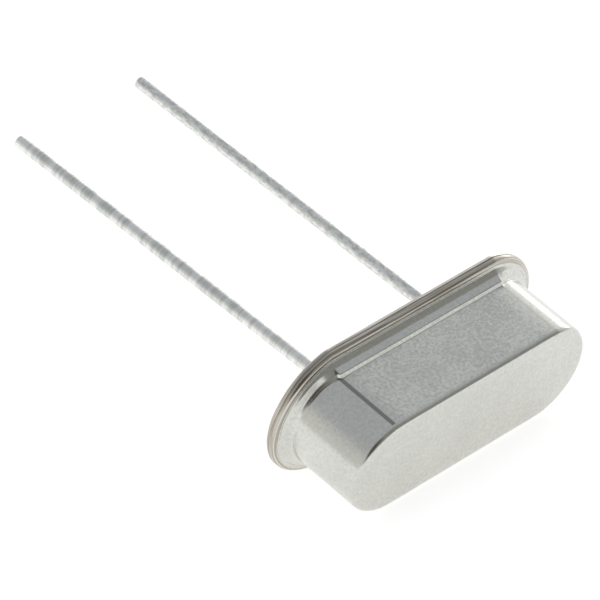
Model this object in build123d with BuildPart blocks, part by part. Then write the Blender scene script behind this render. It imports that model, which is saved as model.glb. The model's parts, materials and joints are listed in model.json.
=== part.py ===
"""Low-profile two-lead quartz crystal unit in a resistance-welded metal can, lying at rest.

The unit is built about its seat, the plane of the header's underside: up from the seat is
towards the can's flat end, and the leads run down from it. Lying free, the unit rests on the
lower edge of its rim and the lower edge of the flat end, so the seat plane stands nearly
upright, leaning by rest_tilt. X runs along the can, the leads point to +Y, and Z = 0 is the
surface that the unit lies on.
"""

from build123d import *
import os
from math import asin, atan2, cos, degrees, hypot, radians, sin, tan

os.makedirs("parts", exist_ok=True)

# ------------------------------------------------------------ driving dimensions, mm and degrees
# Can: drawn sheet, flat sides and arched ends.
can_length = 9.96
can_width = 3.66
can_height = 3.38        # seat to flat end
can_wall = 0.20
can_end = 0.20           # thickness of the flat end
crown_radius = 0.20      # outside, where the wall turns into the flat end
end_crease = 11.3        # angle at which an arched end leaves a flat side
crease_radius = 0.50     # easing of that crease

# Rim: the can's flange and the header's flange, welded face to face.
rim_reach_end = 0.56     # beyond the can's ends
rim_reach_side = 0.63    # beyond the can's flat sides
can_flange = 0.20
header_flange = 0.20
rim_radius = 0.18        # rounding of each flange's outer edge
collar_reach = 0.26      # low step of the can's flange around the foot of the wall
collar_height = 0.16
root_radius = 0.24       # cove between the collar and the wall

# Header: stamped base whose middle plugs the can.
header_height = 0.90
header_clearance = 0.10  # between the plug and the can's wall
header_edge = 0.10       # rounding of the plug's upper edge
recess_margin = 0.25     # from the plug's side to the recess under the header
recess_depth = 0.12

# Leads and their glass seals.
lead_pitch = 4.88
lead_diameter = 0.45
lead_exposed = 14.40     # below the seat
lead_straight = 0.60     # square to the seat before the lead leans
lead_chamfer = 0.03
left_lean = (-0.34, -0.36)   # sideways drift of the free end, along and across the can
right_lean = (-0.02, -0.56)
seal_diameter = 1.30
lead_rise = 0.25         # above the header, to the head
head_diameter = 0.90
head_thickness = 0.15

# Clips, bent from strip, which carry the crystal blank.
clip_thickness = 0.12
clip_width = 1.10
clip_bend = 0.10
foot_inset = 0.42        # foot's inner end, from the lead's axis towards the middle
riser_offset = 0.61      # riser, from the lead's axis towards the can's end
shelf_rise = 0.56        # from the foot to the shelf
stop_height = 0.40       # above the shelf

# Crystal blank, its electrode films and the conductive adhesive.
stop_clearance = 0.56    # from a clip's stop to the can's end wall
blank_clearance = 0.63   # from the blank's long edges to the can's side walls
blank_thickness = 0.12
electrode_length = 3.60
electrode_margin = 0.30  # bare quartz along the film's long edges
electrode_thickness = 0.015
tab_width = 0.50
bond_line = 0.04         # adhesive between the shelf and the blank
end_gap = 0.10           # between the blank's end and the clip's stop
adhesive_grip = 0.45     # how far the adhesive reaches over the blank
adhesive_width = 0.80
adhesive_cap = 0.10      # above the blank
adhesive_radius = 0.06

# ------------------------------------------------------------ derived sizes
rim_length = can_length + 2 * rim_reach_end
rim_width = can_width + 2 * rim_reach_side
rim_top = header_flange + can_flange
collar_top = rim_top + collar_height
lead_radius = lead_diameter / 2
head_base = header_height + lead_rise
foot_base = head_base + head_thickness
shelf_top = foot_base + clip_thickness + shelf_rise
blank_base = shelf_top + bond_line
blank_top = blank_base + blank_thickness
stop_place = can_length / 2 - can_wall - stop_clearance - clip_thickness
blank_length = 2 * (stop_place - end_gap)
blank_width = can_width - 2 * (can_wall + blank_clearance)
electrode_width = blank_width - 2 * electrode_margin

# Rest: the line that touches both the rim's rounded edge and the crown's.
rim_centre = (-(rim_width / 2 - rim_radius), rim_top - rim_radius)
crown_centre = (-(can_width / 2 - crown_radius), can_height - crown_radius)
inward = crown_centre[0] - rim_centre[0]
along = crown_centre[1] - rim_centre[1]
rest_tilt = atan2(inward, along) + asin((rim_radius - crown_radius) / hypot(inward, along))
seat_height = -rim_centre[0] * cos(rest_tilt) + rim_centre[1] * sin(rest_tilt) + rim_radius

# The origin lies under the middle of the unit's extent along Y.
front_reach = -crown_centre[0] * sin(rest_tilt) + crown_centre[1] * cos(rest_tilt) + crown_radius
deepest_lean = min(left_lean[1], right_lean[1])
back_reach = lead_exposed * cos(rest_tilt) - deepest_lean * sin(rest_tilt)

seat = Plane(
    origin=(0, (front_reach - back_reach) / 2, seat_height),
    x_dir=(1, 0, 0),
    z_dir=(0, -cos(rest_tilt), -sin(rest_tilt)),
)
section = Plane(origin=seat.origin, x_dir=seat.x_dir, z_dir=-seat.y_dir)  # through both leads
upright = Axis(seat.origin, seat.z_dir)


def oval(length, width, inset=0):
    """Outline with two straight sides and two arched ends, eased where they meet."""
    end = length / 2 - inset
    side = width / 2 - inset
    straight = end - side * tan(radians(45 - end_crease / 2))
    with BuildSketch() as outline:
        with BuildLine():
            Line((-straight, side), (straight, side))
            ThreePointArc((straight, side), (end, 0), (straight, -side))
            Line((straight, -side), (-straight, -side))
            ThreePointArc((-straight, -side), (-end, 0), (-straight, side))
        make_face()
        fillet(outline.vertices(), crease_radius)
    return outline.sketch


def levels(block):
    """Flat faces square to the upright axis, from the leads' side to the flat end."""
    return block.faces().filter_by(seat).sort_by(upright)


def finish(block, name):
    """Label a finished piece and write it to its own file."""
    block.part.label = name
    export_step(block.part, f"parts/{name}.step")


# ------------------------------------------------------------ can
with BuildPart() as can:
    with BuildSketch(seat.offset(header_flange)):
        add(oval(rim_length, rim_width))
    extrude(amount=can_flange)
    with BuildSketch(seat.offset(rim_top)):
        add(oval(can_length, can_width, -collar_reach))
    extrude(amount=collar_height)
    with BuildSketch(seat.offset(collar_top)):
        add(oval(can_length, can_width))
    extrude(amount=can_height - collar_top)
    fillet(levels(can)[3].outer_wire().edges(), crown_radius)
    fillet(levels(can)[2].inner_wires()[0].edges(), root_radius)
    fillet(levels(can)[1].outer_wire().edges(), rim_radius)
    with BuildSketch(seat.offset(header_flange)):
        add(oval(can_length, can_width, can_wall))
    extrude(amount=can_height - can_end - header_flange, mode=Mode.SUBTRACT)
finish(can, "can")

# ------------------------------------------------------------ header
with BuildPart() as header:
    with BuildSketch(seat):
        add(oval(rim_length, rim_width))
    extrude(amount=header_flange)
    with BuildSketch(seat.offset(header_flange)):
        add(oval(can_length, can_width, can_wall + header_clearance))
    extrude(amount=header_height - header_flange)
    fillet(levels(header)[-1].edges(), header_edge)
    fillet(levels(header)[0].edges(), rim_radius)
    with BuildSketch(seat):
        add(oval(can_length, can_width, can_wall + header_clearance + recess_margin))
    extrude(amount=recess_depth, mode=Mode.SUBTRACT)
    with BuildSketch(seat):
        with GridLocations(lead_pitch, 0, 2, 1):
            Circle(seal_diameter / 2)
    extrude(amount=header_height, mode=Mode.SUBTRACT)
finish(header, "header")

# ------------------------------------------------------------ glass seals and leads
for hand, side, lean in (("left", -1, left_lean), ("right", 1, right_lean)):
    lead_place = side * lead_pitch / 2

    with BuildPart() as seal:
        with BuildSketch(seat.offset(recess_depth)):
            with Locations((lead_place, 0)):
                Circle(seal_diameter / 2)
                Circle(lead_radius, mode=Mode.SUBTRACT)
        extrude(amount=header_height - recess_depth)
    finish(seal, f"glass_seal_{hand}")

    with BuildPart() as lead:
        with BuildLine(seat) as wire:
            Polyline(
                (lead_place, 0, head_base),
                (lead_place, 0, -lead_straight),
                (lead_place + lean[0], lean[1], -lead_exposed),
            )
        with BuildSketch(seat.offset(head_base)):
            with Locations((lead_place, 0)):
                Circle(lead_radius)
        sweep(path=wire.line, transition=Transition.RIGHT)
        chamfer(lead.edges().sort_by(upright)[0], lead_chamfer)
        with BuildSketch(seat.offset(head_base)):
            with Locations((lead_place, 0)):
                Circle(head_diameter / 2)
        extrude(amount=head_thickness)
    finish(lead, f"lead_{hand}")

# ------------------------------------------------------------ support clips
strip_middle = clip_thickness / 2
foot_start = lead_pitch / 2 - foot_inset
riser_place = lead_pitch / 2 + riser_offset
stop_middle = stop_place + strip_middle
for hand, side in (("left", -1), ("right", 1)):
    with BuildPart() as clip:
        with BuildSketch(section):
            with BuildLine():
                FilletPolyline(
                    (side * foot_start, foot_base + strip_middle),
                    (side * riser_place, foot_base + strip_middle),
                    (side * riser_place, shelf_top - strip_middle),
                    (side * stop_middle, shelf_top - strip_middle),
                    (side * stop_middle, shelf_top + stop_height),
                    radius=clip_bend,
                )
            trace(line_width=clip_thickness)
        extrude(amount=clip_width / 2, both=True)
    finish(clip, f"clip_{hand}")

# ------------------------------------------------------------ crystal blank and electrodes
with BuildPart() as blank:
    with BuildSketch(seat.offset(blank_base)):
        Rectangle(blank_length, blank_width)
    extrude(amount=blank_thickness)
finish(blank, "quartz_blank")

tab_length = blank_length / 2
with BuildPart() as electrode_upper:
    with BuildSketch(seat.offset(blank_top)):
        Rectangle(electrode_length, electrode_width)
        with Locations((-tab_length / 2, 0)):
            Rectangle(tab_length, tab_width)
    extrude(amount=electrode_thickness)
finish(electrode_upper, "electrode_upper")

with BuildPart() as electrode_lower:
    with BuildSketch(seat.offset(blank_base)):
        Rectangle(electrode_length, electrode_width)
        with Locations((tab_length / 2, 0)):
            Rectangle(tab_length, tab_width)
    extrude(amount=-electrode_thickness)
finish(electrode_lower, "electrode_lower")

# ------------------------------------------------------------ conductive adhesive
grip_start = blank_length / 2 - adhesive_grip
for hand, side in (("left", -1), ("right", 1)):
    with BuildPart() as adhesive:
        with BuildSketch(seat.offset(shelf_top)):
            with Locations((side * (grip_start + stop_place) / 2, 0)):
                Rectangle(stop_place - grip_start, adhesive_width)
        extrude(amount=blank_top + adhesive_cap - shelf_top)
        fillet(adhesive.edges().group_by(upright)[-1], adhesive_radius)
        add(blank.part, mode=Mode.SUBTRACT)
        add(electrode_upper.part, mode=Mode.SUBTRACT)
        add(electrode_lower.part, mode=Mode.SUBTRACT)
    finish(adhesive, f"adhesive_{hand}")

print(f"rest tilt {degrees(rest_tilt):.3f} deg, seat origin {tuple(round(v, 4) for v in seat.origin)}")
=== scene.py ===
"""Looks of a low-profile quartz crystal unit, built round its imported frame.

Every piece is made upright about the unit's seat, the plane of the header's underside, with x
along the can, y across it and z up to its flat end. BENCH then lays it down in the frame.
"""

import json
from math import atan2, cos, pi, radians, sin, sqrt

import bmesh
import bpy
from bpy.props import FloatProperty, FloatVectorProperty, PointerProperty
from mathutils import Matrix, Vector, noise


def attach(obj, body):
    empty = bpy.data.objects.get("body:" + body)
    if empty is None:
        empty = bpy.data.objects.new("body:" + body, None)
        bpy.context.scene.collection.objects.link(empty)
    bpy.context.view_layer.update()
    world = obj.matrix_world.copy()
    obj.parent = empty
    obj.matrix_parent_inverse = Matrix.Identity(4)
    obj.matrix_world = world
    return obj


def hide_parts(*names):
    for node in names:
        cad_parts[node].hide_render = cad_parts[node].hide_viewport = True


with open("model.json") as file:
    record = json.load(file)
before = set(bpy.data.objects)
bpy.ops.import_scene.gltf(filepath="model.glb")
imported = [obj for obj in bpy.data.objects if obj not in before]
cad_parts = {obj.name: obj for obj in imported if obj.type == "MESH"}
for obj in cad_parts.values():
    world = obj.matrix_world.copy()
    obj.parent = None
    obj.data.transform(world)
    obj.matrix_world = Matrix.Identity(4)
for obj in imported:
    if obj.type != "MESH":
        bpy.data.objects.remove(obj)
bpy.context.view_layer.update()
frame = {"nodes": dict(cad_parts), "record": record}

bl_info = {
    "name": "Crystal unit",
    "version": (1, 0, 0),
    "blender": (4, 5, 0),
    "location": "3D View > Sidebar > Crystal unit",
    "description": "Builds a two-lead quartz crystal unit in a welded metal can",
    "category": "Object",
}

MM = 0.001
BODY = "root"

# ------------------------------------------------------------ places taken from the frame
mounts = {mount["name"]: mount for mount in frame["record"]["mounts"]}
upright = -Vector(mounts["seat"]["axis"])
along = Vector((1, 0, 0))
across = upright.cross(along)
flat_end = Vector(mounts["flat_end"]["pos_m"])
can_height = (flat_end - Vector(mounts["seat"]["pos_m"])).dot(upright)
BENCH = Matrix((along, across, upright)).transposed().to_4x4()
BENCH.translation = flat_end - upright * can_height
TO_BENCH = BENCH.inverted()


def on_bench(node):
    """A CAD node's points, upright on its seat."""
    return [TO_BENCH @ vertex.co for vertex in frame["nodes"][node].data.vertices]


def span(points):
    """Largest x and y of some points."""
    return max(p.x for p in points), max(p.y for p in points)


rim_end, rim_side = span(on_bench("header"))
wall_end, wall_side = span([p for p in on_bench("can") if p.z > can_height / 2])
plug_top = max(p.z for p in on_bench("header"))
seal_floor = min(p.z for p in on_bench("glass_seal_left"))
head_top = max(p.z for p in on_bench("lead_left"))


# ------------------------------------------------------------ values a user would change
def length(name, description, millimetres):
    """A size property in metres, from its default in millimetres."""
    return FloatProperty(name=name, description=description, default=millimetres * MM,
                         unit="LENGTH", precision=5)


def shade(name, description, value):
    """A colour property."""
    return FloatVectorProperty(name=name, description=description, default=value,
                               subtype="COLOR", size=3, min=0, max=1)


class CrystalUnitSizes(bpy.types.PropertyGroup):
    """Sizes of the unit's formed edges and steps."""

    flange: length("Flange", "Thickness of each welded flange", 0.20)
    rim_round: length("Rim round", "Rounding of each flange's outer edge", 0.18)
    seam_depth: length("Seam depth", "Depth of the weld seam between the flanges", 0.025)
    groove_depth: length("Groove depth", "Depth of the groove inside the rim", 0.018)
    foot_reach: length("Foot reach", "Width of the wall's sloping foot", 0.33)
    knee_reach: length("Knee reach", "Width of the foot at its knee", 0.20)
    knee_height: length("Knee height", "Height of the knee above the rim", 0.17)
    shoulder_reach: length("Shoulder reach", "Width of the foot at its shoulder", 0.13)
    shoulder_height: length("Shoulder height", "Height of the shoulder above the rim", 0.395)
    shoulder_rise: length("Shoulder rise", "Rise of the shoulder up to the wall", 0.075)
    bow_start: length("Bow start", "From the can's middle to where its sides bow in", 2.85)
    bow_length: length("Bow length", "Length of that bow", 0.58)
    bow_depth: length("Bow depth", "Depth of that bow", 0.022)
    foot_round: length("Foot round", "Easing of the foot's corners", 0.022)
    crown_round: length("Crown round", "Rounding between the wall and the flat end", 0.20)
    crease_ease: length("Crease ease", "Easing where an arched end leaves a flat side", 0.45)
    sheet: length("Sheet", "Thickness of the can's sheet", 0.20)
    plug_inset: length("Plug inset", "From the can's outside to the header's plug", 0.30)
    recess_inset: length("Recess inset", "From the can's outside to the header's recess", 0.55)
    recess_depth: length("Recess depth", "Depth of the recess under the header", 0.12)
    plug_round: length("Plug round", "Rounding of the plug's upper edge", 0.10)
    seal_radius: length("Seal radius", "Radius of each glass seal", 0.65)
    lead_head: length("Lead head", "Radius of each lead's flattened inner end", 0.45)
    head_depth: length("Head depth", "Thickness of that flattened end", 0.15)
    lead_cut: length("Lead cut", "Bevel at each lead's cut end", 0.03)
    sheet_wave: length("Sheet wave", "Unevenness of the drawn sheet", 0.005)
    rim_wave: length("Rim wave", "Unevenness of the welded rim", 0.016)
    lead_wave: length("Lead wave", "Unevenness of the tinned wire", 0.005)
    crease_angle: FloatProperty(
        name="Crease angle", description="Angle at which an arched end leaves a flat side",
        default=radians(11.3), subtype="ANGLE")


class CrystalUnitColours(bpy.types.PropertyGroup):
    """Colours of the unit's finishes."""

    plating: shade("Plating", "Nickel plating on the can", (0.71, 0.70, 0.65))
    plating_dull: shade("Dull plating", "The same plating where it is dull", (0.50, 0.505, 0.475))
    # Painted shade: a dark plating colour laid along the creases at the can's left end.
    painted_crease_shade: shade("Crease", "Plating in the shade of a crease", (0.24, 0.235, 0.22))
    weld: shade("Weld", "Browned metal at the welded rim", (0.38, 0.335, 0.28))
    weld_pale: shade("Pale weld", "Bright streaks in the welded rim", (0.62, 0.60, 0.55))
    tin: shade("Tin", "Dull tin on the leads", (0.82, 0.82, 0.79))
    tin_dark: shade("Dark tin", "Hollows in the tin", (0.56, 0.565, 0.54))
    glass: shade("Glass", "Fused glass of the seals", (0.06, 0.08, 0.07))
    clip: shade("Clip", "Spring strip of the clips", (0.60, 0.57, 0.48))
    quartz: shade("Quartz", "Lapped quartz", (0.80, 0.84, 0.84))
    film: shade("Film", "Electrode film", (0.78, 0.78, 0.76))
    adhesive: shade("Adhesive", "Silver-filled adhesive", (0.46, 0.45, 0.42))


class CrystalUnitStage(bpy.types.PropertyGroup):
    """Camera, floor and lights."""

    azimuth: FloatProperty(name="Azimuth", description="Camera's turn from the front to the left",
                           default=radians(43.2), subtype="ANGLE")
    elevation: FloatProperty(name="Elevation", description="Camera's height as an angle",
                             default=radians(35.4), subtype="ANGLE")
    roll: FloatProperty(name="Roll", description="Camera's turn about its own axis",
                        default=radians(-1.0), subtype="ANGLE")
    distance: length("Distance", "From the camera to the point it aims at", 178.6)
    lens: FloatProperty(name="Lens", description="Focal length in millimetres", default=348.0)
    aim: FloatVectorProperty(name="Aim", description="Point in the middle of the view",
                             default=(-1.446 * MM, -2.575 * MM, 3.992 * MM), subtype="XYZ",
                             unit="LENGTH", precision=6)
    dome: shade("Dome", "Light from overhead", (0.52, 0.545, 0.575))
    haze: shade("Haze", "Light from near the horizon", (0.80, 0.80, 0.79))
    front: shade("Front", "Dimmer light from the front", (0.32, 0.32, 0.31))
    card: shade("Card", "Dark card round the camera", (0.07, 0.055, 0.045))
    glow: shade("Glow", "Light from the right", (1.0, 1.0, 1.0))
    floor: shade("Floor", "Floor", (0.90, 0.90, 0.89))
    floor_lift: FloatProperty(name="Floor lift", description="Floor's own glow, which keeps it white",
                              default=0.66)
    key: FloatProperty(name="Key", description="Power of the right lamp", default=0.22, unit="POWER")
    key_azimuth: FloatProperty(name="Key azimuth", description="Lamp's turn from the right to the back",
                               default=radians(27), subtype="ANGLE")
    key_elevation: FloatProperty(name="Key elevation", description="Lamp's height as an angle",
                                 default=radians(7), subtype="ANGLE")


# ------------------------------------------------------------ outlines and surfaces
SIDE_STEPS = 30      # along half of a flat side
CREASE_STEPS = 6
ARCH_STEPS = 48
GUARD = 0.05 * MM   # on each side of a crease


def arc(centre_x, centre_y, radius, start, stop, steps):
    """Points along an arc, its start left out."""
    turns = [start + (stop - start) * i / steps for i in range(1, steps + 1)]
    return [(centre_x + radius * cos(t), centre_y + radius * sin(t)) for t in turns]


def oval(end, side):
    """Points round an outline with flat sides and arched ends, from the middle of its low side."""
    sizes = bpy.context.scene.crystal_sizes
    ease = min(sizes.crease_ease, side / 2)
    radius = side / cos(sizes.crease_angle)
    centre = end - radius
    ease_x = centre + sqrt((radius - ease) ** 2 - (side - ease) ** 2)
    turn = atan2(side - ease, ease_x - centre)
    inner_turn = turn - GUARD / radius
    places = [(ease_x - GUARD) * i / SIDE_STEPS for i in range(SIDE_STEPS + 1)]
    half = [(x, -side) for x in places] + [(ease_x, -side)]
    half += arc(ease_x, ease - side, ease, -pi / 2, -turn, CREASE_STEPS)
    half += arc(centre, 0, radius, -turn, -inner_turn, 1)
    half += arc(centre, 0, radius, -inner_turn, inner_turn, ARCH_STEPS)
    half += arc(centre, 0, radius, inner_turn, turn, 1)
    half += arc(ease_x, side - ease, ease, turn, pi / 2, CREASE_STEPS)
    half += [(x, side) for x in reversed(places)]
    return half + [(-x, y) for x, y in reversed(half[1:-1])]


def at_reach(reach, height):
    """Ring of points that far outside the can's wall, or inside it where reach is below zero."""
    if reach <= 0:
        return [Vector((x, y, height)) for x, y in oval(wall_end + reach, wall_side + reach)]
    share = reach / (rim_side - wall_side)
    inner = oval(wall_end, wall_side)
    outer = oval(rim_end, rim_side)
    return [Vector((a + (c - a) * share, b + (d - b) * share, height))
            for (a, b), (c, d) in zip(inner, outer)]


def fill_in(ring, steps):
    """Rings that close an oval flat, shrinking it to its middle line."""
    end, side = span(ring)
    middle = [Vector((max(side - end, min(end - side, p.x)), 0, p.z)) for p in ring]
    shares = [1 - i / steps for i in range(1, steps + 1)]
    return [[m.lerp(p, share) for m, p in zip(middle, ring)] for share in shares]


def rounding(reach, height, radius, start, stop, steps=8):
    """Rings along a rounded edge of the section, whose centre is at that reach and height."""
    turns = [start + (stop - start) * i / steps for i in range(steps + 1)]
    return [(reach + radius * cos(t), height + radius * sin(t)) for t in turns]


def eased(corners, radius, steps=5):
    """Path through corners of the section, each inner one eased off over a radius."""
    path = [corners[0]]
    for before, corner, after in zip(corners, corners[1:], corners[2:]):
        middle = Vector(corner)
        start = middle + (Vector(before) - middle).normalized() * radius
        stop = middle + (Vector(after) - middle).normalized() * radius
        for i in range(steps + 1):
            share = i / steps
            path.append(tuple(start.lerp(middle, share).lerp(middle.lerp(stop, share), share)))
    return path + [corners[-1]]


def steps_between(start, stop, count):
    """Places between two points of the section, both ends included."""
    return [(start[0] + (stop[0] - start[0]) * i / count, start[1] + (stop[1] - start[1]) * i / count)
            for i in range(count + 1)]


def skin(name, rings, marks=None):
    """Closed smooth surface through rings of points.

    Its UV map holds the distances round it and along it in millimetres. Each ring's marks go into the
    attributes for the rim, the painted shade of the creases and the sides, as one value or one for each point.
    """
    bm = bmesh.new()
    uv = bm.loops.layers.uv.new("finish")
    layers = {mark: bm.verts.layers.float.new(mark) for mark in ("rim", "painted_crease_shade", "side")}
    count = len(rings[0])
    rows = []
    for ring, mark in zip(rings, marks or [{}] * len(rings)):
        row = []
        for i, point in enumerate(ring):
            vertex = bm.verts.new(BENCH @ point)
            for key, values in mark.items():
                vertex[layers[key]] = values[i] if isinstance(values, list) else values
            row.append(vertex)
        rows.append(row)
    wide = max(rings, key=lambda ring: ring[0].length)
    round_way = [0.0]
    for i in range(count):
        round_way.append(round_way[-1] + (wide[(i + 1) % count] - wide[i]).length / MM)
    along_way = [0.0]
    for low, high in zip(rings, rings[1:]):
        along_way.append(along_way[-1] + (high[0] - low[0]).length / MM)
    for j in range(len(rows) - 1):
        for i in range(count):
            k = (i + 1) % count
            face = bm.faces.new((rows[j][i], rows[j][k], rows[j + 1][k], rows[j + 1][i]))
            face.smooth = True
            places = ((i, j), (i + 1, j), (i + 1, j + 1), (i, j + 1))
            for loop, (a, b) in zip(face.loops, places):
                loop[uv].uv = (round_way[a], along_way[b])
    bmesh.ops.remove_doubles(bm, verts=bm.verts, dist=0.0002 * MM)
    bmesh.ops.recalc_face_normals(bm, faces=bm.faces)
    mesh = bpy.data.meshes.new(name)
    bm.to_mesh(mesh)
    bm.free()
    piece = bpy.data.objects.new(name, mesh)
    bpy.context.scene.collection.objects.link(piece)
    return piece


def ring_values(value):
    """A value for each point of a ring, from how many points past a crease it lies on an arch."""
    count = 2 * SIDE_STEPS + 2 * CREASE_STEPS + ARCH_STEPS + 5
    half = [value(min(i, count - 1 - i) - SIDE_STEPS - 1) for i in range(count)]
    return half, half[-2:0:-1]


def wall_marks(reach):
    """Marks of a ring on the wall: its flat sides, and the painted shade along the creases at its left end."""
    if reach != 0:
        return {}
    # Painted shade: only the creases at the left end get the dark mark.
    right, left = ring_values(lambda past: float(0 <= past <= CREASE_STEPS))
    sides = ring_values(lambda past: max(0.0, min(1.0, -past / 4)))
    return {"painted_crease_shade": [0.0] * len(right) + left, "side": sides[0] + sides[1]}


def arch_shares():
    """How fully each point of a ring belongs to an arched end, from 0 to 1."""
    right, left = ring_values(lambda past: max(0.0, min(1.0, past / (CREASE_STEPS + 8))))
    return [share * share * (3 - 2 * share) for share in right + left]


def ripple(point, seed, stretch, scale):
    """Smooth noise at a point, from -1 to 1, with its grain stretched along each axis."""
    place = Vector((point.x / stretch[0], point.y / stretch[1], point.z / stretch[2])) / MM
    return noise.noise(place * scale + Vector((seed, 2 * seed, 3 * seed)))


def place(piece, nodes, slot_name, material):
    """Put a finished piece in its place in the frame."""
    piece.data.materials.append(material)
    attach(piece, BODY)
    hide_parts(*nodes)
    return piece


# ------------------------------------------------------------ materials
def add_node(tree, kind, settings=(), **inputs):
    """Add a shader node, set its properties and set or link its inputs."""
    made = tree.nodes.new(kind)
    for key, value in dict(settings).items():
        setattr(made, key, value)
    for key, value in inputs.items():
        socket = made.inputs[int(key[1:])] if key[0] == "i" and key[1:].isdigit() \
            else made.inputs[key.replace("_", " ")]
        if isinstance(value, bpy.types.NodeSocket):
            tree.links.new(value, socket)
        else:
            socket.default_value = value
    return made


def start_material(name):
    """An empty material, its tree and its main shader."""
    material = bpy.data.materials.new(name)
    material.use_nodes = True
    tree = material.node_tree
    tree.nodes.clear()
    shader = add_node(tree, "ShaderNodeBsdfPrincipled")
    output = add_node(tree, "ShaderNodeOutputMaterial")
    tree.links.new(shader.outputs["BSDF"], output.inputs["Surface"])
    return material, tree, shader


def in_millimetres(tree, stretch=(1, 1, 1)):
    """The piece's own coordinates in millimetres, stretched along each axis."""
    where = add_node(tree, "ShaderNodeTexCoord")
    scale = tuple(1 / (MM * s) for s in stretch)
    return add_node(tree, "ShaderNodeMapping", Vector=where.outputs["Object"], Scale=scale).outputs[0]


def on_finish(tree, scale):
    """The distances round and along the piece, scaled."""
    where = add_node(tree, "ShaderNodeUVMap", {"uv_map": "finish"})
    return add_node(tree, "ShaderNodeMapping", Vector=where.outputs["UV"], Scale=scale).outputs[0]


def grain(tree, vector, scale, detail=3.0, roughness=0.55):
    """A noise pattern's value."""
    made = add_node(tree, "ShaderNodeTexNoise", Vector=vector, Scale=scale, Detail=detail,
                    Roughness=roughness)
    return made.outputs["Fac"]


def remap(tree, value, low, high, new_low=0.0, new_high=1.0):
    """A value moved from one range to another, clamped."""
    made = add_node(tree, "ShaderNodeMapRange", {"interpolation_type": "SMOOTHSTEP"}, i0=value,
                    i1=low, i2=high, i3=new_low, i4=new_high)
    return made.outputs[0]


def blend_colours(tree, share, first, second):
    """Mix of two colours, each a colour or a socket."""
    made = add_node(tree, "ShaderNodeMix", {"data_type": "RGBA"})
    for socket, value in ((made.inputs[0], share), (made.inputs[6], first), (made.inputs[7], second)):
        if isinstance(value, bpy.types.NodeSocket):
            tree.links.new(value, socket)
        elif isinstance(value, float):
            socket.default_value = value
        else:
            socket.default_value = (*value, 1)
    return made.outputs[2]


def combine(tree, kind, first, second):
    """Arithmetic on two values."""
    return add_node(tree, "ShaderNodeMath", {"operation": kind}, i0=first, i1=second).outputs[0]


def plated_steel():
    """Satin nickel on drawn sheet: fine mottle, faint scratches, painted shade along the creases at the left end
    and a browned rim.
    """
    colours = bpy.context.scene.crystal_colours
    material, tree, shader = start_material("nickel_plating")
    side = add_node(tree, "ShaderNodeAttribute", {"attribute_name": "side"}).outputs["Fac"]
    mottle = grain(tree, in_millimetres(tree), 10.0, 5.0, 0.75)
    cloud = grain(tree, in_millimetres(tree), 0.5, 2.0)
    scratch = grain(tree, in_millimetres(tree, (3.0, 0.12, 0.12)), 1.6, 2.0)
    mix = combine(tree, "ADD", combine(tree, "MULTIPLY", mottle, 0.8),
                  combine(tree, "MULTIPLY", cloud, 0.2))
    speckled = blend_colours(tree, remap(tree, mix, 0.40, 0.60), colours.plating_dull, colours.plating)
    even = blend_colours(tree, remap(tree, mix, 0.20, 0.80), colours.plating_dull, colours.plating)
    colour = blend_colours(tree, side, even, speckled)
    # Painted shade: the plating turns dark along the creases at the left end.
    painted_crease_shade = add_node(tree, "ShaderNodeAttribute", {"attribute_name": "painted_crease_shade"}).outputs["Fac"]
    colour = blend_colours(tree, remap(tree, painted_crease_shade, 0.2, 1.0, 0.0, 0.95), colour, colours.painted_crease_shade)
    streak = grain(tree, on_finish(tree, (0.35, 16.0, 1.0)), 1.0, 4.0)
    weld = blend_colours(tree, remap(tree, streak, 0.42, 0.60), colours.weld, colours.weld_pale)
    rim = add_node(tree, "ShaderNodeAttribute", {"attribute_name": "rim"}).outputs["Fac"]
    colour = blend_colours(tree, remap(tree, rim, 0.1, 0.9), colour, weld)
    tree.links.new(colour, shader.inputs["Base Color"])
    shader.inputs["Metallic"].default_value = 1
    tree.links.new(remap(tree, mottle, 0.3, 0.7, 0.26, 0.20), shader.inputs["Roughness"])
    height = combine(tree, "ADD", mottle, combine(tree, "MULTIPLY", scratch, 0.5))
    height = combine(tree, "ADD", height, combine(tree, "MULTIPLY", combine(tree, "MULTIPLY", streak, rim), 2.0))
    strength = remap(tree, side, 0.0, 1.0, 0.12, 0.6)
    bump = add_node(tree, "ShaderNodeBump", Strength=strength, Distance=0.006 * MM, Height=height)
    tree.links.new(bump.outputs[0], shader.inputs["Normal"])
    return material


def tinned_wire():
    """Dull tin with a hammered, drawn-out grain."""
    colours = bpy.context.scene.crystal_colours
    material, tree, shader = start_material("dull_tin")
    hammer = grain(tree, on_finish(tree, (6.0, 2.6, 1.0)), 1.6, 4.0, 0.65)
    fine = grain(tree, in_millimetres(tree), 16.0, 3.0)
    colour = blend_colours(tree, remap(tree, hammer, 0.35, 0.62), colours.tin_dark, colours.tin)
    tree.links.new(colour, shader.inputs["Base Color"])
    shader.inputs["Metallic"].default_value = 1
    tree.links.new(remap(tree, fine, 0.3, 0.7, 0.24, 0.42), shader.inputs["Roughness"])
    height = combine(tree, "ADD", hammer, combine(tree, "MULTIPLY", fine, 0.35))
    bump = add_node(tree, "ShaderNodeBump", Strength=0.4, Distance=0.012 * MM, Height=height)
    tree.links.new(bump.outputs[0], shader.inputs["Normal"])
    return material


def plain_finish(name, colour, metallic, roughness, grain_scale, spread=0.12):
    """A finish with a fine grain in its colour, roughness and surface."""
    material, tree, shader = start_material(name)
    speck = grain(tree, in_millimetres(tree), grain_scale, 4.0)
    dark = tuple(channel * (1 - spread) for channel in colour)
    light = tuple(min(1, channel * (1 + spread)) for channel in colour)
    tree.links.new(blend_colours(tree, remap(tree, speck, 0.35, 0.65), dark, light),
                   shader.inputs["Base Color"])
    shader.inputs["Metallic"].default_value = metallic
    tree.links.new(remap(tree, speck, 0.3, 0.7, roughness * 0.8, roughness * 1.2),
                   shader.inputs["Roughness"])
    bump = add_node(tree, "ShaderNodeBump", Strength=0.3, Distance=0.005 * MM, Height=speck)
    tree.links.new(bump.outputs[0], shader.inputs["Normal"])
    return material, shader


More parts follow.
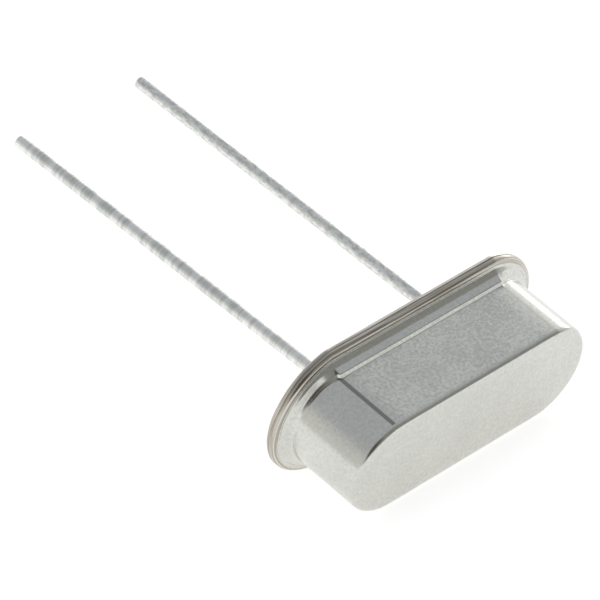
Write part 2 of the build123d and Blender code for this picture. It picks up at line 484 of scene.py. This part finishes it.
# ------------------------------------------------------------ pieces
class CRYSTAL_OT_can(bpy.types.Operator):
    """Build the drawn can with its flange, collar and rounded crown"""

    bl_idname = "crystal.can"
    bl_label = "Can"

    def execute(self, context):
        s = context.scene.crystal_sizes
        rim_top = 2 * s.flange
        rim_reach = rim_side - wall_side
        inner_top = can_height - s.sheet
        groove = rim_reach - s.rim_round - 0.03 * MM
        rim = [(rim_reach - s.seam_depth, s.flange)]
        rim += rounding(rim_reach - s.rim_round, rim_top - s.rim_round, s.rim_round, 0, pi / 2, 12)
        rim += [(groove + 0.015 * MM, rim_top - 0.3 * s.groove_depth),
                (groove, rim_top - s.groove_depth),
                (groove - 0.015 * MM, rim_top - 0.3 * s.groove_depth)]
        wall_head = (0, can_height - s.crown_round)
        crown = rounding(-s.crown_round, can_height - s.crown_round, s.crown_round, 0, pi / 2, 12)
        beside = [(s.foot_reach, 0), (s.knee_reach, s.knee_height),
                  (s.shoulder_reach, s.shoulder_height), (0, s.shoulder_height + s.shoulder_rise)]
        round_end = [(s.foot_reach, 0), (s.knee_reach + 0.05 * MM, 0.09 * MM),
                     (0.06 * MM, 0.18 * MM), (0, 0.26 * MM)]
        sections = []
        for corners in (beside, round_end):
            corners = [(groove - 0.03 * MM, 0)] + corners
            foot = eased([(reach, rim_top + rise) for reach, rise in corners] + [wall_head],
                         s.foot_round)[:-1]
            sections.append(rim + foot + steps_between(foot[-1], wall_head, 26)[1:-1] + crown)
        inner = [(-s.sheet, s.flange), (-s.sheet, inner_top - 0.1 * MM)]
        inner += rounding(-s.sheet - 0.1 * MM, inner_top - 0.1 * MM, 0.1 * MM, 0, pi / 2, 5)[1:]

        rings = []
        marks = []
        shares = arch_shares()
        for spot, end_spot in zip(*sections):
            ring = [a.lerp(b, share)
                    for a, b, share in zip(at_reach(*spot), at_reach(*end_spot), shares)]
            if spot[0] <= 0:
                ring = [self.bowed(p, s) for p in ring]
            weld = max(0.0, min(1.0, (spot[0] - groove) / (0.06 * MM)))
            marks.append(wall_marks(spot[0]) | {"rim": weld})
            rings.append([self.drawn(p, spot[0], rim_reach, s) for p in ring])
        closing = fill_in(rings[-1], 14)
        rings += closing
        marks += [{}] * len(closing)
        rings.reverse()
        marks.reverse()
        under = [at_reach(reach, height) for reach, height in inner]
        rings += under
        marks += [{}] * len(under)
        ceiling = fill_in(under[-1], 8)
        rings += ceiling
        marks += [{}] * len(ceiling)
        piece = skin("drawn_can", rings, marks)
        place(piece, ["can"], "can_plating", plated_steel())
        return {"FINISHED"}

    @staticmethod
    def bowed(point, s):
        """A point of the wall where its flat sides bow in a little towards the arched ends."""
        share = max(0.0, min(1.0, (abs(point.x) - s.bow_start) / s.bow_length))
        return point - Vector((0, point.y / wall_side * share * share * s.bow_depth, 0))

    @staticmethod
    def drawn(point, reach, rim_reach, s):
        """A point of the can moved a little inwards, as drawing and welding leave it."""
        flat = Vector((point.x, point.y, 0)).normalized()
        wave = (ripple(point, 3.1, (1.6, 1.6, 1.2), 0.9) - 1) / 2 * s.sheet_wave
        if reach > 0.6 * rim_reach:
            wave += (ripple(point, 7.7, (0.7, 0.7, 3.0), 1.6) - 1) / 2 * s.rim_wave
        return point + flat * wave


class CRYSTAL_OT_header(bpy.types.Operator):
    """Build the stamped header with its rim, plug, recess and seal holes"""

    bl_idname = "crystal.header"
    bl_label = "Header"

    def execute(self, context):
        s = context.scene.crystal_sizes
        rim_reach = rim_side - wall_side
        rounded = rounding(rim_reach - s.rim_round, s.rim_round, s.rim_round, 0, -pi / 2, 12)
        section = [(rim_reach - s.seam_depth, s.flange)] + rounded
        section += steps_between((rim_reach - s.rim_round, 0), (-s.recess_inset + 0.04 * MM, 0), 8)[1:]
        section += [(-s.recess_inset + 0.01 * MM, 0.01 * MM),
                    (-s.recess_inset, 0.04 * MM),
                    (-s.recess_inset, s.recess_depth - 0.04 * MM),
                    (-s.recess_inset - 0.01 * MM, s.recess_depth - 0.01 * MM),
                    (-s.recess_inset - 0.04 * MM, s.recess_depth)]
        upper = [(-s.plug_inset, s.flange), (-s.plug_inset, plug_top - s.plug_round)]
        upper += rounding(-s.plug_inset - s.plug_round, plug_top - s.plug_round, s.plug_round,
                          0, pi / 2, 6)[1:]
        rings = []
        marks = []
        for reach, height in section:
            weld = 1.0 if reach > rim_reach - s.rim_round else 0.0
            marks.append({"rim": weld})
            rings.append([CRYSTAL_OT_can.drawn(p, reach, rim_reach, s) for p in at_reach(reach, height)])
        floor = fill_in(rings[-1], 8)
        rings += floor
        marks += [{}] * len(floor)
        rings.reverse()
        marks.reverse()
        top = [at_reach(reach, height) for reach, height in upper]
        top += fill_in(top[-1], 8)
        rings += top
        marks += [{}] * len(top)
        piece = skin("stamped_header", rings, marks)
        for side in (-1, 1):
            self.bore(piece, side * lead_place(), s.seal_radius)
        place(piece, ["header"], "header_plating", plated_steel())
        return {"FINISHED"}

    @staticmethod
    def bore(piece, x, radius):
        """Cut a seal's hole through the header."""
        bm = bmesh.new()
        turn = BENCH @ Matrix.Translation((x, 0, plug_top / 2))
        bmesh.ops.create_cone(bm, cap_ends=True, segments=48, radius1=radius, radius2=radius,
                              depth=3 * plug_top, matrix=turn)
        mesh = bpy.data.meshes.new("seal_hole")
        bm.to_mesh(mesh)
        bm.free()
        cutter = bpy.data.objects.new("seal_hole", mesh)
        bpy.context.scene.collection.objects.link(cutter)
        cut = piece.modifiers.new("seal_hole", "BOOLEAN")
        cut.object = cutter
        cut.operation = "DIFFERENCE"
        cut.solver = "EXACT"
        bpy.context.view_layer.update()
        ready = bpy.data.meshes.new_from_object(piece.evaluated_get(bpy.context.evaluated_depsgraph_get()))
        piece.modifiers.clear()
        piece.data = ready
        bpy.data.objects.remove(cutter)


def lead_place():
    """Distance of a lead's axis from the middle of the can."""
    points = on_bench("glass_seal_right")
    return (min(p.x for p in points) + max(p.x for p in points)) / 2


def circle(centre, radius, first, second, steps=32):
    """Ring of points round a centre, in the plane of two directions."""
    turns = [2 * pi * i / steps for i in range(steps)]
    return [centre + (first * cos(t) + second * sin(t)) * radius for t in turns]


class CRYSTAL_OT_seals(bpy.types.Operator):
    """Build the fused glass seals, whose skin climbs the leads"""

    bl_idname = "crystal.seals"
    bl_label = "Glass seals"

    def execute(self, context):
        s = context.scene.crystal_sizes
        colours = context.scene.crystal_colours
        glass, shader = plain_finish("fused_glass", colours.glass, 0, 0.12, 9.0, 0.3)
        shader.inputs["Coat Weight"].default_value = 0.4
        bore = mounts["lead_right_end"]["dims"]["r_mm"] * MM
        for side, hand in ((-1, "left"), (1, "right")):
            x = side * lead_place()
            section = [(bore, plug_top + 0.05 * MM)]
            section += [(bore + (s.seal_radius - bore) * i / 10,
                         plug_top + 0.05 * MM * (1 - i / 10) ** 3) for i in range(1, 11)]
            section += [(s.seal_radius, seal_floor)]
            section += [(bore + (s.seal_radius - bore) * (1 - i / 10),
                         seal_floor - 0.09 * MM * (i / 10) ** 3) for i in range(1, 11)]
            section += [(bore, plug_top + 0.05 * MM)]
            rings = [circle(Vector((x, 0, z)), r, Vector((1, 0, 0)), Vector((0, 1, 0)), 48)
                     for r, z in section]
            piece = skin(f"fused_seal_{hand}", rings)
            place(piece, [f"glass_seal_{hand}"], "seal_glass", glass)
        return {"FINISHED"}


class CRYSTAL_OT_leads(bpy.types.Operator):
    """Build the tinned wire leads, each with its flattened inner end and its cut end"""

    bl_idname = "crystal.leads"
    bl_label = "Leads"

    def execute(self, context):
        s = context.scene.crystal_sizes
        tin = tinned_wire()
        for side, hand in ((-1, "left"), (1, "right")):
            mount = mounts[f"lead_{hand}_end"]
            radius = mount["dims"]["r_mm"] * MM
            middle = TO_BENCH @ Vector(mount["pos_m"])
            way = (TO_BENCH.to_3x3() @ Vector(mount["axis"])).normalized()
            slant = way.to_2d()
            shift = middle.to_2d() - Vector((side * lead_place(), 0))
            bend = middle - way * (shift.dot(slant) / slant.length_squared)
            extent = max((p - bend).dot(way) for p in on_bench(f"lead_{hand}"))
            tip = bend + way * (extent - s.lead_cut - 0.001 * MM)
            axis_top = Vector((side * lead_place(), 0, head_top))
            down = Vector((0, 0, -1))
            stations = [(axis_top, down, 0.01 * MM), (axis_top, down, s.lead_head - 0.03 * MM)]
            stations += [(axis_top + down * d, down, s.lead_head) for d in (0.03 * MM, s.head_depth - 0.03 * MM)]
            stations += [(axis_top + down * s.head_depth, down, s.lead_head - 0.03 * MM),
                         (axis_top + down * s.head_depth, down, radius)]
            stations += [(axis_top.lerp(bend, 0.2 + 0.8 * i / 12), down, radius) for i in range(12)]
            stations += [(bend.lerp(tip, i / 260), way, radius) for i in range(261)]
            stations += [(tip + way * s.lead_cut, way, radius - s.lead_cut),
                         (tip + way * s.lead_cut * 0.7, way, radius * 0.70),
                         (tip + way * s.lead_cut * 0.9, way, radius * 0.35),
                         (tip + way * s.lead_cut * 0.9, way, 0.01 * MM)]
            rings = []
            for centre, heading, wide in stations:
                first = heading.cross(Vector((0, 1, 0))).normalized()
                second = heading.cross(first)
                ring = circle(centre, wide, first, second)
                if wide == radius:
                    ring = [self.hammered(p, centre, heading, side, s) for p in ring]
                rings.append(ring)
            piece = skin(f"tinned_lead_{hand}", rings)
            self.close_ends(piece)
            place(piece, [f"lead_{hand}"], "lead_tin", tin)
        return {"FINISHED"}

    @staticmethod
    def hammered(point, centre, heading, side, s):
        """A point of the wire's skin, pressed in where the tin is uneven."""
        out = (point - centre).normalized()
        dent = (ripple(point, 5.0 + side, (0.35, 0.35, 1.1), 1.6) - 1) / 2
        dent += (ripple(point, 9.0 + side, (0.12, 0.12, 0.35), 1.5) - 1) / 6
        return point + out * dent * s.lead_wave

    @staticmethod
    def close_ends(piece):
        """Close the small holes left at both ends of a lead."""
        bm = bmesh.new()
        bm.from_mesh(piece.data)
        bmesh.ops.holes_fill(bm, edges=[e for e in bm.edges if e.is_boundary], sides=0)
        bmesh.ops.recalc_face_normals(bm, faces=bm.faces)
        bm.to_mesh(piece.data)
        bm.free()


class CRYSTAL_OT_inner_pieces(bpy.types.Operator):
    """Give the sealed inner pieces their finishes"""

    bl_idname = "crystal.inner_pieces"
    bl_label = "Inner pieces"

    def execute(self, context):
        colours = context.scene.crystal_colours
        clip, _ = plain_finish("spring_strip", colours.clip, 1, 0.3, 8.0)
        quartz, shader = plain_finish("lapped_quartz", colours.quartz, 0, 0.35, 14.0, 0.05)
        shader.inputs["Transmission Weight"].default_value = 0.6
        film, _ = plain_finish("silver_film", colours.film, 1, 0.18, 10.0, 0.05)
        adhesive, _ = plain_finish("silver_adhesive", colours.adhesive, 0.4, 0.5, 18.0, 0.25)
        finishes = {"clip_left": clip, "clip_right": clip, "quartz_blank": quartz,
                    "electrode_upper": film, "electrode_lower": film,
                    "adhesive_left": adhesive, "adhesive_right": adhesive}
        for name, material in finishes.items():
            mesh = frame["nodes"][name].data
            mesh.materials.clear()
            mesh.materials.append(material)
        return {"FINISHED"}


# ------------------------------------------------------------ stage
class CRYSTAL_OT_stage(bpy.types.Operator):
    """Set the pale floor, the soft lights and the camera"""

    bl_idname = "crystal.stage"
    bl_label = "Stage"

    def execute(self, context):
        stage = context.scene.crystal_stage
        self.floor(stage)
        self.world(context.scene, stage)
        aim = Vector(stage.aim)
        towards = Vector((cos(stage.key_azimuth) * cos(stage.key_elevation),
                          sin(stage.key_azimuth) * cos(stage.key_elevation),
                          sin(stage.key_elevation)))
        self.lamp("key_lamp", aim, towards, 0.45, (0.40, 0.09), stage.key)
        self.camera(context.scene, stage, aim)
        context.scene.view_settings.view_transform = "Standard"
        return {"FINISHED"}

    @staticmethod
    def floor(stage):
        """A wide plain floor that stays white and keeps the shadow."""
        bm = bmesh.new()
        bmesh.ops.create_grid(bm, x_segments=8, y_segments=8, size=1.5)
        mesh = bpy.data.meshes.new("floor")
        bm.to_mesh(mesh)
        bm.free()
        floor = bpy.data.objects.new("floor", mesh)
        bpy.context.scene.collection.objects.link(floor)
        material, tree, shader = start_material("pale_floor")
        shader.inputs["Base Color"].default_value = (*stage.floor, 1)
        shader.inputs["Roughness"].default_value = 1
        shader.inputs["Specular IOR Level"].default_value = 0
        shader.inputs["Emission Color"].default_value = (1, 1, 1, 1)
        path = add_node(tree, "ShaderNodeLightPath").outputs
        seen = combine(tree, "MAXIMUM", path["Is Camera Ray"], path["Is Glossy Ray"])
        seen = combine(tree, "MAXIMUM", seen, path["Is Transmission Ray"])
        tree.links.new(combine(tree, "MULTIPLY", seen, stage.floor_lift),
                       shader.inputs["Emission Strength"])
        mesh.materials.append(material)

    @staticmethod
    def world(scene, stage):
        """Soft light from all round, paler near the horizon, dimmer in front, dark at the camera."""
        world = bpy.data.worlds.new("soft_room")
        world.use_nodes = True
        scene.world = world
        tree = world.node_tree
        tree.nodes.clear()
        where = add_node(tree, "ShaderNodeTexCoord").outputs["Generated"]
        parts = add_node(tree, "ShaderNodeSeparateXYZ", Vector=where).outputs
        colour = blend_colours(tree, remap(tree, parts["Z"], 0.25, 0.70), stage.haze, stage.dome)
        colour = blend_colours(tree, remap(tree, parts["Y"], -0.60, -0.30, 1.0, 0.0), colour, stage.front)
        for centre, edge, core, tint in (((0.848, 0.424, 0.318), 0.81, 0.975, stage.glow),
                                         ((-0.60, -0.62, 0.505), 0.885, 0.965, stage.card)):
            near = add_node(tree, "ShaderNodeVectorMath", {"operation": "DOT_PRODUCT"},
                            i0=where, i1=centre)
            colour = blend_colours(tree, remap(tree, near.outputs["Value"], edge, core), colour, tint)
        light = add_node(tree, "ShaderNodeBackground", Color=colour, Strength=1.0)
        output = add_node(tree, "ShaderNodeOutputWorld")
        tree.links.new(light.outputs[0], output.inputs["Surface"])

    @staticmethod
    def lamp(name, aim, direction, distance, size, power):
        """A soft rectangular lamp that faces the unit."""
        data = bpy.data.lights.new(name, "AREA")
        data.shape = "RECTANGLE"
        data.size, data.size_y = size
        data.energy = power
        lamp = bpy.data.objects.new(name, data)
        bpy.context.scene.collection.objects.link(lamp)
        lamp.location = aim + direction.normalized() * distance
        lamp.rotation_euler = direction.to_track_quat("Z", "Y").to_euler()

    @staticmethod
    def camera(scene, stage, aim):
        """The camera, above the front left corner."""
        data = bpy.data.cameras.new("camera")
        data.lens = stage.lens
        data.clip_start = 0.01
        data.clip_end = 10
        camera = bpy.data.objects.new("camera", data)
        scene.collection.objects.link(camera)
        away = Vector((-sin(stage.azimuth) * cos(stage.elevation),
                       -cos(stage.azimuth) * cos(stage.elevation),
                       sin(stage.elevation)))
        camera.location = aim + away * stage.distance
        turn = away.to_track_quat("Z", "Y").to_matrix() @ Matrix.Rotation(stage.roll, 3, "Z")
        camera.rotation_euler = turn.to_euler()
        scene.camera = camera


class CRYSTAL_PT_panel(bpy.types.Panel):
    """Sidebar panel that lists the unit's pieces and values"""

    bl_idname = "CRYSTAL_PT_panel"
    bl_label = "Crystal unit"
    bl_space_type = "VIEW_3D"
    bl_region_type = "UI"
    bl_category = "Crystal unit"

    def draw(self, context):
        layout = self.layout
        for operator in OPERATORS:
            layout.operator(operator.bl_idname)
        for group in ("crystal_sizes", "crystal_colours", "crystal_stage"):
            values = getattr(context.scene, group)
            for name in values.bl_rna.properties.keys():
                if name not in ("rna_type", "name"):
                    layout.prop(values, name)


GROUPS = {
    "crystal_sizes": CrystalUnitSizes,
    "crystal_colours": CrystalUnitColours,
    "crystal_stage": CrystalUnitStage,
}
OPERATORS = (
    CRYSTAL_OT_stage,
    CRYSTAL_OT_can,
    CRYSTAL_OT_header,
    CRYSTAL_OT_seals,
    CRYSTAL_OT_leads,
    CRYSTAL_OT_inner_pieces,
)


def register():
    """Register the classes and their values on the scene."""
    for group in GROUPS.values():
        bpy.utils.register_class(group)
    for name, group in GROUPS.items():
        setattr(bpy.types.Scene, name, PointerProperty(type=group))
    for operator in (*OPERATORS, CRYSTAL_PT_panel):
        bpy.utils.register_class(operator)


def unregister():
    """Undo register."""
    for operator in reversed((*OPERATORS, CRYSTAL_PT_panel)):
        bpy.utils.unregister_class(operator)
    for name, group in reversed(list(GROUPS.items())):
        delattr(bpy.types.Scene, name)
        bpy.utils.unregister_class(group)


def main():
    """Build the whole unit."""
    register()
    for operator in OPERATORS:
        getattr(bpy.ops.crystal, operator.bl_idname.split(".")[1])()


if __name__ == "__main__":
    main()
